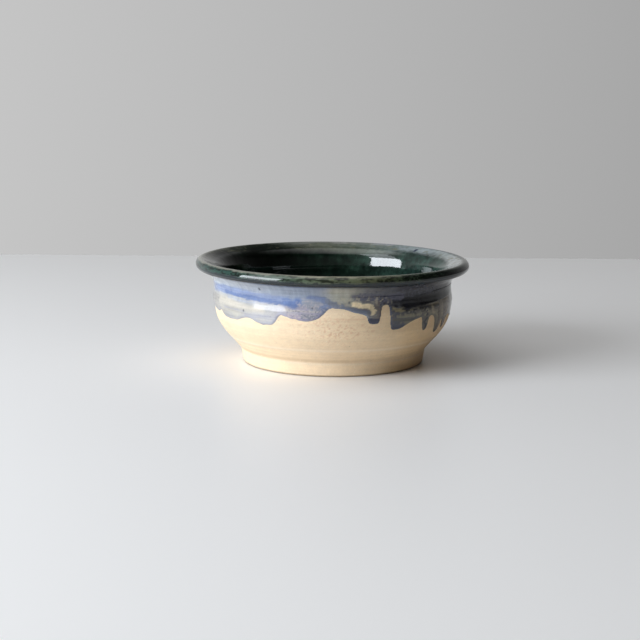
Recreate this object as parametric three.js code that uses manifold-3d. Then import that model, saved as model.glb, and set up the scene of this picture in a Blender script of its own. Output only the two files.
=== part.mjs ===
// A wheel-thrown stoneware yarn bowl: one turned clay body under four fired coats of glaze.
// Units are millimetres. +Z is up, the bowl stands on z = 0, and the front of the bowl faces -Y.
// Azimuth is measured round the bowl from the front, -Y, towards +X.
import * as THREE from "three";
import Module from "manifold-3d";
import { mergeVertices } from "three/addons/utils/BufferGeometryUtils.js";

const wasm = await Module();
wasm.setup();

// Driving dimensions
const RIM_RADIUS = 85; // outermost point of the glazed lip
const HEIGHT = 64.1; // table to the crest of the glazed lip
const LIP_THICKNESS = 6.9; // the rolled lip is round in section
const BELLY_RADIUS = 74.2;
const BELLY_HEIGHT = 41;
const NECK_RADIUS = 73.5; // the slight waist under the flare
const NECK_HEIGHT = 48;
const WALL = 5.1; // clay at the neck, the thinnest place
const FOOT_RADIUS = 56.2; // at the table
const FOOT_TOP_RADIUS = 57.6;
const FOOT_HEIGHT = 9.2;
const FOOT_RING_WIDTH = 6.5;
const FOOT_RECESS = 3;
const FOOT_ROUNDING = 0.6;
const FLOOR_HEIGHT = 8.6; // inside, at the centre

// A thrown rim is never quite level or quite over its foot.
const RIM_LEAN = 0.0046; // drop towards +X for each millimetre across, at the rim
const FOOT_DRIFT = 0.9; // the foot's centre lies this far towards +X of the rim's

// Glaze
const COAT_GAP = 0.12; // coats keep this far off what they lie on
const COAT = 0.4;
const THIN_COAT = 0.25;
const COAT_BREAK = 0.35; // space between one coat and the next along the wall

// Azimuths in degrees and drops in millimetres of the rounded runs on the shoulder glaze's lower edge
const SHOULDER_EDGE_HEIGHT = 43.5;
const RUNS = [
  { azimuth: -58, halfWidth: 19, drop: 11 },
  { azimuth: -33, halfWidth: 11, drop: 11 },
  { azimuth: -12, halfWidth: 10, drop: 7 },
  { azimuth: 19, halfWidth: 6, drop: 7 },
  { azimuth: 34, halfWidth: 9, drop: 13 },
  { azimuth: 50, halfWidth: 8, drop: 14 },
  { azimuth: 70, halfWidth: 14, drop: 19 },
  { azimuth: 96, halfWidth: 12, drop: 10 },
  { azimuth: 124, halfWidth: 15, drop: 14 },
  { azimuth: 151, halfWidth: 11, drop: 8 },
  { azimuth: 178, halfWidth: 16, drop: 12 },
  { azimuth: 207, halfWidth: 12, drop: 9 },
  { azimuth: 233, halfWidth: 15, drop: 13 },
  { azimuth: 262, halfWidth: 14, drop: 10 },
];
const BAND_LOW = 44.5; // the brushed cobalt band, on top of the shoulder glaze
const BAND_HIGH = 50.5;

const SEGMENTS = 64;
const OUTER_STEPS = 14;
const LIP_STEPS = 8;
const INNER_STEPS = 28;

// The skin: the clay's visible section from the foot's crease, up the outside, over the lip and down to the
// centre of the floor. Its normal, the tangent turned clockwise, always points out of the clay.
const glazeDepth = COAT_GAP + COAT;
const lipRadius = LIP_THICKNESS / 2 - glazeDepth;
const lipCentre = new THREE.Vector2(RIM_RADIUS - LIP_THICKNESS / 2, HEIGHT - LIP_THICKNESS / 2);
const LIP_START = THREE.MathUtils.degToRad(-118);
const LIP_END = THREE.MathUtils.degToRad(128);

function onLip(angle) {
  return new THREE.Vector2(Math.cos(angle), Math.sin(angle)).multiplyScalar(lipRadius).add(lipCentre);
}

function spline(points, steps) {
  return new THREE.SplineCurve(points).getSpacedPoints(steps);
}

const crease = new THREE.Vector2(FOOT_TOP_RADIUS + 0.3, FOOT_HEIGHT);
const outerWall = spline(
  [
    crease,
    new THREE.Vector2(63.3, 15.3),
    new THREE.Vector2(68.3, 21.1),
    new THREE.Vector2(71.9, 27.4),
    new THREE.Vector2(73.4, 34),
    new THREE.Vector2(BELLY_RADIUS, BELLY_HEIGHT),
    new THREE.Vector2(NECK_RADIUS, NECK_HEIGHT),
    new THREE.Vector2(74.9, 53.6),
    onLip(LIP_START),
  ],
  OUTER_STEPS,
);
const lipRoll = Array.from({ length: LIP_STEPS - 1 }, (_, i) =>
  onLip(THREE.MathUtils.lerp(LIP_START, LIP_END, (i + 1) / LIP_STEPS)),
);
const innerWall = spline(
  [
    onLip(LIP_END),
    new THREE.Vector2(76.4, 61.4),
    new THREE.Vector2(73.6, 60.2),
    new THREE.Vector2(71.4, 58.8),
    new THREE.Vector2(70.1, 57),
    new THREE.Vector2(69.4, 54.9),
    new THREE.Vector2(68.9, 52.5),
    new THREE.Vector2(68.6, 50),
    new THREE.Vector2(NECK_RADIUS - WALL, NECK_HEIGHT),
    new THREE.Vector2(BELLY_RADIUS - WALL, BELLY_HEIGHT),
    new THREE.Vector2(67.6, 33),
    new THREE.Vector2(63.6, 24.8),
    new THREE.Vector2(56.5, 17.2),
    new THREE.Vector2(45, 11.8),
    new THREE.Vector2(28, 9.2),
    new THREE.Vector2(0, FLOOR_HEIGHT),
  ],
  INNER_STEPS,
);
const skin = [...outerWall, ...lipRoll, ...innerWall];

const skinNormals = skin.map((point, i) => {
  const before = skin[Math.max(i - 1, 0)];
  const after = skin[Math.min(i + 1, skin.length - 1)];
  const along = after.clone().sub(before).normalize();
  return point.x === 0 ? new THREE.Vector2(0, 1) : new THREE.Vector2(along.y, -along.x);
});

const skinLengths = skin.reduce(
  (lengths, point, i) => (i ? [...lengths, lengths[i - 1] + point.distanceTo(skin[i - 1])] : [0]),
  [],
);

// The point at a length along the skin, lifted off it.
function onSkin(length, lift) {
  const last = skin.length - 2;
  const i = Math.min(Math.max(skinLengths.findLastIndex((l) => l <= length), 0), last);
  const share = (length - skinLengths[i]) / (skinLengths[i + 1] - skinLengths[i]);
  const point = skin[i].clone().lerp(skin[i + 1], share);
  const normal = skinNormals[i].clone().lerp(skinNormals[i + 1], share).normalize();
  return point.addScaledVector(normal, lift);
}

// The length along the skin at which the outer wall reaches a height.
function lengthAtHeight(height) {
  const i = skin.findIndex((point) => point.y > height) - 1;
  const share = (height - skin[i].y) / (skin[i + 1].y - skin[i].y);
  return THREE.MathUtils.lerp(skinLengths[i], skinLengths[i + 1], share);
}

// Two lengths along the skin, and those of the skin's corners between them.
function cornersBetween(from, to) {
  return [from, ...skinLengths.filter((length) => length > from && length < to), to];
}

// A coat's closed section between two lengths along the skin, and between two lifts off it.
function coatSection(from, to, near, far) {
  const lengths = cornersBetween(from, to);
  const outside = lengths.map((length) => onSkin(length, far));
  const inside = lengths.map((length) => onSkin(length, near)).reverse();
  return [...outside, ...inside, outside[0].clone()];
}

// Where the shoulder glaze stopped running, at an azimuth in degrees.
function runHeight(azimuth) {
  const drops = RUNS.map(({ azimuth: middle, halfWidth, drop }) => {
    const away = Math.abs(((azimuth - middle + 540) % 360) - 180) / halfWidth;
    return away < 1 ? drop * Math.sqrt(1 - away * away) : 0;
  });
  return SHOULDER_EDGE_HEIGHT - Math.max(...drops);
}

// A lathe whose closed section may change as it turns; section takes an azimuth in degrees.
function turned(section) {
  const points = section(0);
  const geometry = new THREE.LatheGeometry(points, SEGMENTS);
  const position = geometry.attributes.position;
  for (let i = 0; i <= SEGMENTS; i += 1) {
    const turn = (i % SEGMENTS) / SEGMENTS;
    const angle = turn * 2 * Math.PI;
    section(turn * 360).forEach((point, j) => {
      position.setXYZ(i * points.length + j, point.x * Math.sin(angle), point.y, point.x * Math.cos(angle));
    });
  }
  return geometry.rotateX(Math.PI / 2);
}

function solidOf(geometry) {
  const bare = new THREE.BufferGeometry().setIndex(geometry.index);
  bare.setAttribute("position", geometry.attributes.position);
  const merged = mergeVertices(bare);
  const vertProperties = merged.attributes.position.array;
  const triVerts = new Uint32Array(merged.index.array);
  return new wasm.Manifold(new wasm.Mesh({ numProp: 3, vertProperties, triVerts }));
}

// The first closed geometry with the second cut out of it.
function cut(geometry, tool) {
  const { vertProperties, triVerts } = solidOf(geometry).subtract(solidOf(tool)).getMesh();
  const result = new THREE.BufferGeometry();
  result.setAttribute("position", new THREE.BufferAttribute(vertProperties, 3));
  return result.setIndex(new THREE.BufferAttribute(triVerts, 1));
}

// Moves a true turned shape to the slightly leaning one that came off the wheel.
function settle(geometry) {
  const position = geometry.attributes.position;
  for (let i = 0; i < position.count; i += 1) {
    const share = position.getZ(i) / HEIGHT;
    const x = position.getX(i) + FOOT_DRIFT * (1 - share);
    position.setXYZ(i, x, position.getY(i), position.getZ(i) - RIM_LEAN * x * share);
  }
}

function piece(name, geometry, color, roughness) {
  settle(geometry);
  geometry.computeVertexNormals();
  const material = new THREE.MeshStandardMaterial({ color, roughness, metalness: 0 });
  const mesh = new THREE.Mesh(geometry, material);
  mesh.name = name;
  return mesh;
}

function stonewareBody() {
  const ringInner = FOOT_RADIUS - FOOT_RING_WIDTH;
  const underside = [
    new THREE.Vector2(0, FOOT_RECESS),
    new THREE.Vector2(ringInner - FOOT_RECESS, FOOT_RECESS),
    new THREE.Vector2(ringInner, 0),
    new THREE.Vector2(FOOT_RADIUS - FOOT_ROUNDING, 0),
    new THREE.Vector2(FOOT_RADIUS, FOOT_ROUNDING),
    new THREE.Vector2(FOOT_TOP_RADIUS, FOOT_HEIGHT - FOOT_ROUNDING),
  ];
  return piece("stoneware_body", turned(() => [...underside, ...skin]), 0xe6d3ad, 0.6);
}

const floorCentre = skinLengths.at(-1);
const crest = skinLengths[OUTER_STEPS + LIP_STEPS - 1];
const lipUnderside = skinLengths[OUTER_STEPS];

// The poured glaze of the inside, from the crest of the lip to the middle of the floor, where it closes.
function linerGlaze() {
  const lengths = cornersBetween(crest + COAT_BREAK, floorCentre);
  const outside = lengths.map((length) => onSkin(length, glazeDepth));
  const inside = lengths.map((length) => onSkin(length, COAT_GAP)).reverse();
  return piece("liner_glaze", turned(() => [...inside, ...outside]), 0x12382e, 0.12);
}

// The dipped glaze of the lip, from its underside over the roll to the crest.
function lipGlaze() {
  const section = coatSection(lipUnderside + COAT_BREAK, crest, COAT_GAP, glazeDepth);
  return piece("lip_glaze", turned(() => section), 0x1f3d3a, 0.12);
}

// The pale glaze of the shoulder, whose lower edge hangs in rounded runs.
function shoulderGlaze() {
  const lowest = SHOULDER_EDGE_HEIGHT - Math.max(...RUNS.map(({ drop }) => drop)) - 1;
  const section = coatSection(lengthAtHeight(lowest), lipUnderside, COAT_GAP, COAT);
  const belowTheRuns = turned((azimuth) => {
    const inner = FOOT_RADIUS;
    const outer = RIM_RADIUS;
    const high = runHeight(azimuth);
    const corners = [[inner, 0], [outer, 0], [outer, high], [inner, high], [inner, 0]];
    return corners.map(([radius, height]) => new THREE.Vector2(radius, height));
  });
  return piece("shoulder_glaze", cut(turned(() => section), belowTheRuns), 0x8f97b4, 0.2);
}

// The cobalt brushed round the shoulder, over the pale glaze.
function cobaltBand() {
  const near = COAT + COAT_GAP;
  const section = coatSection(
    lengthAtHeight(BAND_LOW),
    lengthAtHeight(BAND_HIGH),
    near,
    near + THIN_COAT,
  );
  return piece("cobalt_band", turned(() => section), 0x4a5fae, 0.18);
}

const bowl = new THREE.Group();
bowl.name = "yarn_bowl";
bowl.add(stonewareBody(), linerGlaze(), lipGlaze(), shoulderGlaze(), cobaltBand());

export default bowl;
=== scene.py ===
"""A wheel-thrown stoneware yarn bowl on a pale table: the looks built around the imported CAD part.

The bowl's shape and painting are worked out in millimetres and degrees, then turned into metres; the
table, the lights and the camera are in metres. Azimuth runs round the bowl from the front, -Y, towards
+X. A length is measured along the clay's section, up the outside and down the inside, and a lift is a
distance out of the clay, along its normal.
"""

import math

import bpy
import numpy as np
from mathutils import Euler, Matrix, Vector


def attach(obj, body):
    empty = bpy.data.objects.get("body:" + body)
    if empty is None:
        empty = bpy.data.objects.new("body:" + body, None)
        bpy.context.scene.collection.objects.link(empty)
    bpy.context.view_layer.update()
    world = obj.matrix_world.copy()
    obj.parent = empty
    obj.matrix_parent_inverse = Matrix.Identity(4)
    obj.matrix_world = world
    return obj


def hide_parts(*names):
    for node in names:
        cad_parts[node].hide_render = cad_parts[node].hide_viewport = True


MM = 0.001

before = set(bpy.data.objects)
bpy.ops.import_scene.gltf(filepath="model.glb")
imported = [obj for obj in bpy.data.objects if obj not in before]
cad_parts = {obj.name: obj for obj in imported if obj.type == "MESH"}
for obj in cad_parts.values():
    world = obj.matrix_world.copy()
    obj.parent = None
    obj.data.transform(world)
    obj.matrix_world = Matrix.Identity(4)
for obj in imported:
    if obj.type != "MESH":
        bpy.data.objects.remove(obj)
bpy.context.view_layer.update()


# ---- The clay's section, read from the CAD part ----


def node_points(name):
    """A CAD node's distinct points in millimetres, and its triangles as indices into them."""
    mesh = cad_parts[name].data
    points = np.array([vertex.co for vertex in mesh.vertices]) / MM
    distinct, index = np.unique(points.round(3), axis=0, return_inverse=True)
    index = index.ravel()
    triangles = [[index[i] for i in polygon.vertices] for polygon in mesh.polygons]
    return distinct, triangles


clay_points, clay_triangles = node_points("stoneware_body")
lip_points, _ = node_points("lip_glaze")

NEAR_FRONT = 0.2  # how far from the front meridian a point may be and still lie on it
front_lip = lip_points[(np.abs(lip_points[:, 0]) < NEAR_FRONT) & (lip_points[:, 1] < 0)]
side_lip = lip_points[np.abs(lip_points[:, 1]) < NEAR_FRONT]
left_crest = max(side_lip[side_lip[:, 0] < 0], key=lambda point: point[2])
right_crest = max(side_lip[side_lip[:, 0] > 0], key=lambda point: point[2])

HEIGHT = front_lip[:, 2].max()
RIM_RADIUS = -front_lip[:, 1].min()
RIM_LEAN = (left_crest[2] - right_crest[2]) / (right_crest[0] - left_crest[0])
ON_TABLE = 0.01  # the foot stands on the points below this
FOOT_DRIFT = clay_points[clay_points[:, 2] < ON_TABLE, 0].mean()


def front_section():
    """Radius and height along the clay's front meridian, from the underside's centre to the floor's."""
    drift = FOOT_DRIFT * (1 - clay_points[:, 2] / HEIGHT)
    on_front = (np.abs(clay_points[:, 0] - drift) < NEAR_FRONT) & (clay_points[:, 1] < NEAR_FRONT)
    neighbours = {i: set() for i in np.flatnonzero(on_front)}
    for triangle in clay_triangles:
        corners = [i for i in triangle if on_front[i]]
        for i in corners:
            neighbours[i].update(j for j in corners if j != i)
    ends = [i for i, near in neighbours.items() if len(near) == 1]
    path = [min(ends, key=lambda i: clay_points[i, 2])]
    while True:
        onward = [i for i in neighbours[path[-1]] if i not in path]
        if not onward:
            break
        path.append(onward[0])
    return np.column_stack([-clay_points[path, 1], clay_points[path, 2]])


section = front_section()
outward_tilt = np.degrees(np.arctan2(*np.diff(section, axis=0).T))
UPRIGHT_TILT = 20  # the foot's side leans out less than this
BELLY_TILT = 30  # and the belly above its crease more than this
foot_side = int(np.argmax(outward_tilt < UPRIGHT_TILT))
crease = foot_side + int(np.argmax(outward_tilt[foot_side:] > BELLY_TILT))

SAMPLE = 0.05  # spacing of the section once it is drawn as a smooth line
ROUNDING = 0.35  # how far the line's corners are worn down


def straight(points):
    """Points along straight lines between the given ones."""
    spans = []
    for a, b in zip(points, points[1:]):
        count = max(2, round(np.linalg.norm(b - a) / SAMPLE))
        spans.append(np.linspace(a, b, count, endpoint=False))
    return np.vstack(spans)


def curved(points):
    """Points along a Catmull-Rom curve through the given ones."""
    ends = [2 * points[0] - points[1], *points, 2 * points[-1] - points[-2]]
    spans = []
    for before, a, b, after in zip(ends, ends[1:], ends[2:], ends[3:]):
        length = np.linalg.norm(b - a)
        tangent_a = (b - before) * length / (length + np.linalg.norm(a - before))
        tangent_b = (after - a) * length / (length + np.linalg.norm(after - b))
        t = np.linspace(0, 1, max(2, round(length / SAMPLE)), endpoint=False)[:, None]
        spans.append(
            (2 * t**3 - 3 * t**2 + 1) * a
            + (t**3 - 2 * t**2 + t) * tangent_a
            + (3 * t**2 - 2 * t**3) * b
            + (t**3 - t**2) * tangent_b
        )
    return np.vstack([*spans, points[-1:]])


def blurred(values, spread):
    """Values smoothed along their first axis, with the ends held."""
    reach = int(4 * spread)
    weights = np.exp(-0.5 * (np.arange(-reach, reach + 1) / spread) ** 2)
    weights /= weights.sum()
    before = 2 * values[0] - values[reach:0:-1]
    after = 2 * values[-1] - values[-2 : -reach - 2 : -1]
    padded = np.concatenate([before, values, after])
    return np.apply_along_axis(lambda column: np.convolve(column, weights, mode="valid"), 0, padded)


line = blurred(np.vstack([straight(section[: crease + 1]), curved(section[crease:])]), ROUNDING / SAMPLE)
line[:, 1] = np.maximum(line[:, 1], 0)
line[:, 0] = np.maximum(line[:, 0], 0)
line_length = np.concatenate([[0], np.cumsum(np.linalg.norm(np.diff(line, axis=0), axis=1))])
along = np.gradient(line, line_length, axis=0)
along /= np.linalg.norm(along, axis=1)[:, None]
line_normal = np.column_stack([along[:, 1], -along[:, 0]])

ROLL_START = 0.985  # the lip rolls outward after this share of the way to the widest point
CREASE_MARGIN = 3  # the belly is looked for from this far inside the crease's radius

top = int(np.argmax(line[:, 1]))
widest = int(np.argmax(line[:, 0]))
neck_top = int(np.argmax(line[: int(ROLL_START * widest), 1]))
LIP_CENTRE = (line[top, 0], line[widest, 1])

# Places along the section, as lengths from the underside's centre
LIP_UNDERSIDE = line_length[neck_top]
CREST = line_length[top]
FLOOR = line_length[-1]


def at_height(height):
    """The length along the section at which the outside reaches a height."""
    start = int(np.argmax(line[:, 0] > section[crease, 0] - CREASE_MARGIN))
    return float(np.interp(height, line[start:neck_top, 1], line_length[start:neck_top]))


def on_line(length):
    """Radius, height and normal of the clay at lengths along its section."""
    columns = (line[:, 0], line[:, 1], line_normal[:, 0], line_normal[:, 1])
    return [np.interp(length, line_length, column) for column in columns]


# ---- Noise and other fields over the wall ----

BELOW_NECK = 0.75  # share of the height below which the belly is the widest place
BELLY_RADIUS = section[section[:, 1] < BELOW_NECK * HEIGHT, 0].max()
ARC = 2 * math.pi * BELLY_RADIUS / 360  # millimetres round the belly for each degree
NOISE_ROOM = 160  # noise covers lengths and heights up to this


def smooth(share):
    """A share from 0 to 1 that leaves 0 and reaches 1 gently."""
    return share * share * (3 - 2 * share)


def cells(azimuth, height, across, up, seed):
    """Smooth noise from -1 to 1 in cells of across by up millimetres, which closes round the bowl."""
    columns = max(3, round(360 * ARC / across))
    rows = int(NOISE_ROOM / up) + 4
    lattice = np.random.default_rng(seed).uniform(-1, 1, (rows, columns))
    turn = (azimuth % 360) / 360 * columns
    level = np.clip(height / up + 1, 0, rows - 2)
    left = np.floor(turn).astype(int)
    low = np.floor(level).astype(int)
    rightward = smooth(turn - left)
    upward = smooth(level - low)
    left %= columns
    right = (left + 1) % columns
    below = lattice[low, left] * (1 - rightward) + lattice[low, right] * rightward
    above = lattice[low + 1, left] * (1 - rightward) + lattice[low + 1, right] * rightward
    return below * (1 - upward) + above * upward


# The layers of each noise: strength, width and height of a cell in millimetres, and seed
NOISES = {
    # Shape and thickness, in millimetres or as shares
    "ring strength": [(0.4, 45, 6, 1)],
    "finger rings": [(0.5, 60, 5, 2)],
    "tool lines": [(1, 80, 0.7, 3)],
    "ridge strength": [(0.4, 50, 9, 4)],
    "dents": [(0.03, 9, 5, 5)],
    "glaze edge": [(0.3, 2.2, 5, 6)],
    "shoulder coat": [(0.07, 6, 7, 7)],
    "lip coat": [(0.03, 14, 5, 8)],
    "liner coat": [(0.05, 12, 8, 9)],
    # How far colours are moved: millimetres, or degrees for the lip, flare and the shaded side's tint
    "drag": [(1, 7, 3, 21), (0.4, 2, 1.2, 22)],
    "sag": [(0.5, 8, 3, 23), (0.25, 2, 1.5, 24)],
    "stroke edges": [(0.55, 5, 0.6, 44), (0.35, 1.1, 0.5, 45)],
    "lip": [(9, 5, 3, 31), (6, 1.4, 1.2, 32)],
    "liner": [(2.2, 14, 6, 35), (0.7, 3, 3, 36)],
    "flare": [(3, 8, 5, 37)],
    "coat edges": [(0.5, 6, 3, 42), (0.25, 1.3, 2, 43)],
    "shaded_side": [(6, 30, 12, 57)],
    # How strong colours are
    "dry brush": [(1, 14, 0.5, 25)],
    "streaks": [(0.09, 0.9, 9, 26), (0.063, 2.2, 14, 27)],
    "brush lines": [(0.09, 22, 0.6, 28), (0.054, 9, 1.1, 29)],
    "shoulder clouds": [(0.06, 5, 3, 30)],
    "lip mottle": [(0.6, 4, 1.2, 33), (0.6, 1.1, 0.7, 34)],
    "liner speckle": [(1, 1.6, 1.6, 38), (0.6, 0.8, 0.8, 39)],
    "olive flecks": [(3, 2.6, 2, 40)],
    "well clouds": [(0.55, 7, 5, 46), (0.385, 3, 2.4, 47)],
    "frost": [(2.2, 1.5, 1.3, 41)],
    "clay bands": [(0.05, 70, 1.3, 51), (0.03, 30, 0.6, 52)],
    "clay clouds": [(0.03, 16, 9, 53)],
    "clay grain": [(0.03, 1.1, 0.9, 54)],
    "pink grains": [(3, 0.9, 0.8, 55)],
    "seam_and_shade": [(0.25, 25, 4, 56)],
}


def noise(name, azimuth, height):
    """The layers of a named noise added up."""
    return sum(strength * cells(azimuth, height, *cell) for strength, *cell in NOISES[name])


def ease(value):
    """0 below 0, 1 above 1, and a smooth rise between."""
    return smooth(np.clip(value, 0, 1))


def ramp(value, start, end):
    """A smooth change from 0 at the start to 1 at the end, whichever of the two is the higher."""
    return ease((value - start) / (end - start))


def bump(value, middle, half_width):
    """A smooth hump of height 1 round a middle value."""
    return np.exp(-(((value - middle) / half_width) ** 2))


def value_around(azimuth, stops):
    """A value that changes evenly round the bowl between its stops, each an azimuth and a value."""
    places, values = zip(*stops)
    return np.interp(azimuth, places, values, period=360)


def colour_around(azimuth, stops):
    """The same for a colour: each stop is an azimuth and the colour's three channels."""
    places, *channels = zip(*stops)
    return np.stack([np.interp(azimuth, places, channel, period=360) for channel in channels], axis=-1)


# ---- Meshes turned round the axis --------


def rows_between(spans, end):
    """Lengths up to an end; each span is (place, spacing from there to the next place)."""
    places = [place for place, _ in spans]
    steps = []
    for (place, spacing), onward in zip(spans, [*places[1:], end]):
        count = max(1, round((onward - place) / spacing))
        steps.append(np.linspace(place, onward, count, endpoint=False))
    return np.append(np.concatenate(steps), end)


def azimuths(columns):
    return np.arange(columns) * 360 / columns


def settled(radius, height, azimuth):
    """Points of the slightly leaning bowl that came off the wheel, in metres."""
    turn = np.radians(azimuth)
    share = height / HEIGHT
    x = radius * np.sin(turn) + FOOT_DRIFT * (1 - share)
    y = -radius * np.cos(turn)
    z = height - RIM_LEAN * x * share
    return np.stack([x, y, z], axis=-1) * MM


def turned_mesh(name, radius, height, azimuth, colour, loops):
    """A closed mesh from a grid of rows by columns, whose rows end on the axis or loop to the first."""
    points = settled(radius, height, azimuth)
    rows, columns = radius.shape
    on_axis = radius.max(axis=1) < SAMPLE
    counts = np.where(on_axis, 1, columns)
    starts = np.concatenate([[0], np.cumsum(counts)])
    index = starts[:-1, None] + np.where(on_axis[:, None], 0, np.arange(columns)[None, :])
    pairs = [(i, i + 1) for i in range(rows - 1)]
    if loops:
        pairs.append((rows - 1, 0))
    faces = []
    for low, high in pairs:
        if on_axis[low] and on_axis[high]:
            continue  # a coat's two faces end on the axis, each in its own point
        a, b = index[low], np.roll(index[low], -1)
        c, d = np.roll(index[high], -1), index[high]
        if on_axis[low]:
            faces += np.column_stack([a, c, d]).tolist()
        elif on_axis[high]:
            faces += np.column_stack([a, b, c]).tolist()
        else:
            faces += np.column_stack([a, b, c, d]).tolist()
    keep = np.concatenate([np.arange(columns)[: counts[i]] + i * columns for i in range(rows)])
    mesh = bpy.data.meshes.new(name)
    mesh.from_pydata(points.reshape(-1, 3)[keep].tolist(), [], faces)
    mesh.shade_smooth()
    paint = np.ones((rows * columns, 4))
    paint[:, :3] = colour.reshape(-1, 3)
    attribute = mesh.color_attributes.new(name="paint", type="FLOAT_COLOR", domain="POINT")
    attribute.data.foreach_set("color", paint[keep].ravel())
    piece = bpy.data.objects.new(name, mesh)
    bpy.context.scene.collection.objects.link(piece)
    return piece


BACK_STRIDE = 6  # the hidden face of a coat has a row for every few of its visible ones


def coat_mesh(name, lengths, columns, lift, back):
    """A closed glaze coat, with lift(azimuth, length) for its visible face and back for its hidden one."""
    visible = len(lengths)
    back_rows = np.unique(np.append(np.arange(0, visible, BACK_STRIDE), visible - 1))[::-1]
    azimuth, length = np.meshgrid(azimuths(columns), np.append(lengths, lengths[back_rows]))
    radius, height, out, up = on_line(length)
    outer = lift(azimuth[:visible], length[:visible])
    inner = back(azimuth[visible:], length[visible:])
    rise = np.concatenate([outer, inner])
    radius = np.where(radius < SAMPLE, 0, radius + out * rise)
    return turned_mesh(name, radius, height + up * rise, azimuth, glaze_paint(azimuth, length), loops=True)


# ---- The wall's relief and the thickness of its coats ----

GLAZE = RIM_RADIUS - line[widest, 0]  # the lip's glaze brings the clay out to the CAD rim
TUCK = -0.12  # where a coat ends, its outer face dips this far into the clay
BACK = -0.2  # and its hidden face lies this deep
CREASE = at_height(section[crease, 1])
FOOT_ROUNDING = 0.5  # the underside turns up into the foot's side over this much of its radius
FOOT_EDGE = float(line_length[np.argmax(line[:, 0] > section[foot_side, 0] - FOOT_ROUNDING)])

RIDGE_HEIGHT = 17.4  # a ridge left between two passes of the turning tool
RIDGE_LIFT = 0.22
GROOVE_HEIGHT = 44.3  # the shallow groove that the last finger left round the neck
GROOVE_DEPTH = 0.35
GROOVE_SHARE = [(0, 1), (30, 0.15), (100, 0.15), (150, 1)]  # how much of its depth it has: azimuth, share

THROWING_PITCH = 3.1  # from one ring to the next on the outside
THROWING_LIFT = 0.035
FINE_PITCH = 1.05  # finer rings lie over those
FINE_SHARE = 0.35  # with this share of their lift
FINGER_PITCH = 7.5  # rings on the inside
FINGER_LIFT = 0.10
TOOL_PITCH = 0.9  # lines on the foot
TOOL_LIFT = 0.02
UNDERSIDE_LIFT = 0.05  # and their lift under it


def spiral(azimuth, length, pitch):
    return np.sin(2 * math.pi * (length / pitch + azimuth / 360))


def relief(azimuth, length):
    """How far the potter's fingers and turning tool left the clay proud of its even section."""
    outside = ramp(length, CREASE, CREASE + 3) * ramp(length, LIP_UNDERSIDE, LIP_UNDERSIDE - 3)
    inside = ramp(length, CREST + 24, CREST + 34) * ramp(length, FLOOR, FLOOR - 40)
    foot = ramp(length, FOOT_EDGE + 1, FOOT_EDGE + 2.5) * ramp(length, CREASE - 0.5, CREASE - 2)
    below = ramp(length, 0, 6) * ramp(length, FOOT_EDGE - 8, FOOT_EDGE - 11)
    strength = 0.6 + noise("ring strength", azimuth, length)
    fine_rings = FINE_SHARE * spiral(azimuth, length, FINE_PITCH)
    throwing_rings = spiral(azimuth, length, THROWING_PITCH) * strength + fine_rings
    finger_rings = spiral(azimuth, length, FINGER_PITCH) + noise("finger rings", azimuth, length)
    tool_lines = spiral(azimuth, length, TOOL_PITCH) + noise("tool lines", azimuth, length)
    ridge = bump(length, at_height(RIDGE_HEIGHT), 0.7) * (0.6 + noise("ridge strength", azimuth, length))
    groove = bump(length, at_height(GROOVE_HEIGHT), 2.6) * value_around(azimuth, GROOVE_SHARE)
    dents = noise("dents", azimuth, length)
    return (
        outside * (THROWING_LIFT * throwing_rings + RIDGE_LIFT * ridge - GROOVE_DEPTH * groove + dents)
        + inside * (FINGER_LIFT * finger_rings + dents)
        + foot * (TOOL_LIFT * tool_lines + dents)
        + below * UNDERSIDE_LIFT * tool_lines
    )


# Where the shoulder glaze stopped running: azimuth and height, all the way round
SHOULDER_EDGE = [
    (-80, 36), (-74, 34.5), (-68, 35), (-66, 36), (-63, 33.5), (-58, 32.2), (-52, 32.4), (-47, 34),
    (-42, 34.8), (-38, 33.4), (-33, 32.2), (-29.5, 32.8), (-27, 34.5), (-25.5, 37.4), (-24, 38.9),
    (-21.5, 38.7), (-19.5, 37.8), (-16, 37), (-12, 36.2), (-8.5, 37.2), (-5.5, 39), (-3.5, 41.5),
    (-1.5, 44.2), (0, 44.8), (3, 44.2), (7, 43), (11, 41.6), (14.5, 40.2), (16, 39), (16.2, 36.5),
    (16.8, 35.2), (19, 34.9), (21.2, 35.2), (21.8, 36.6), (22.1, 39), (22.4, 43), (23.2, 45.4),
    (26.2, 45.6), (27.1, 43), (27.3, 38), (27.4, 32.5), (28.2, 31), (30, 30.2), (32.5, 30.8), (35, 31.8),
    (38, 33.6), (41, 35.2), (44, 36), (46, 36.2), (46.6, 33), (47.2, 29), (48.8, 27.4), (50.3, 28.6),
    (50.9, 33), (51.6, 35.5), (54, 36), (56.5, 33), (58, 26), (60, 24), (62, 25.5), (63, 30),
    (64.5, 32), (65.5, 28), (67, 25.5), (68.5, 27), (70, 31.5), (74, 33), (80, 31), (88, 29),
    (95, 33), (103, 36), (110, 31), (116, 29.5), (122, 33), (128, 39), (133, 41), (139, 37),
    (146, 33), (154, 32.5), (160, 36), (163, 40), (168, 42), (173, 38), (178, 34), (186, 32),
    (194, 34), (200, 39), (206, 42), (212, 38), (219, 33.5), (227, 32.5), (234, 35), (239, 40),
    (243, 37), (249, 33), (257, 31.5), (265, 34), (271, 37.5), (276, 36),
]
EDGE_STEP = 0.05  # degrees between the samples of that edge
EDGE_WEAR = 0.35  # degrees over which its corners are rounded
EDGE_REACH = 4.5  # degrees each way in which the nearest point of the edge is looked for

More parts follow.
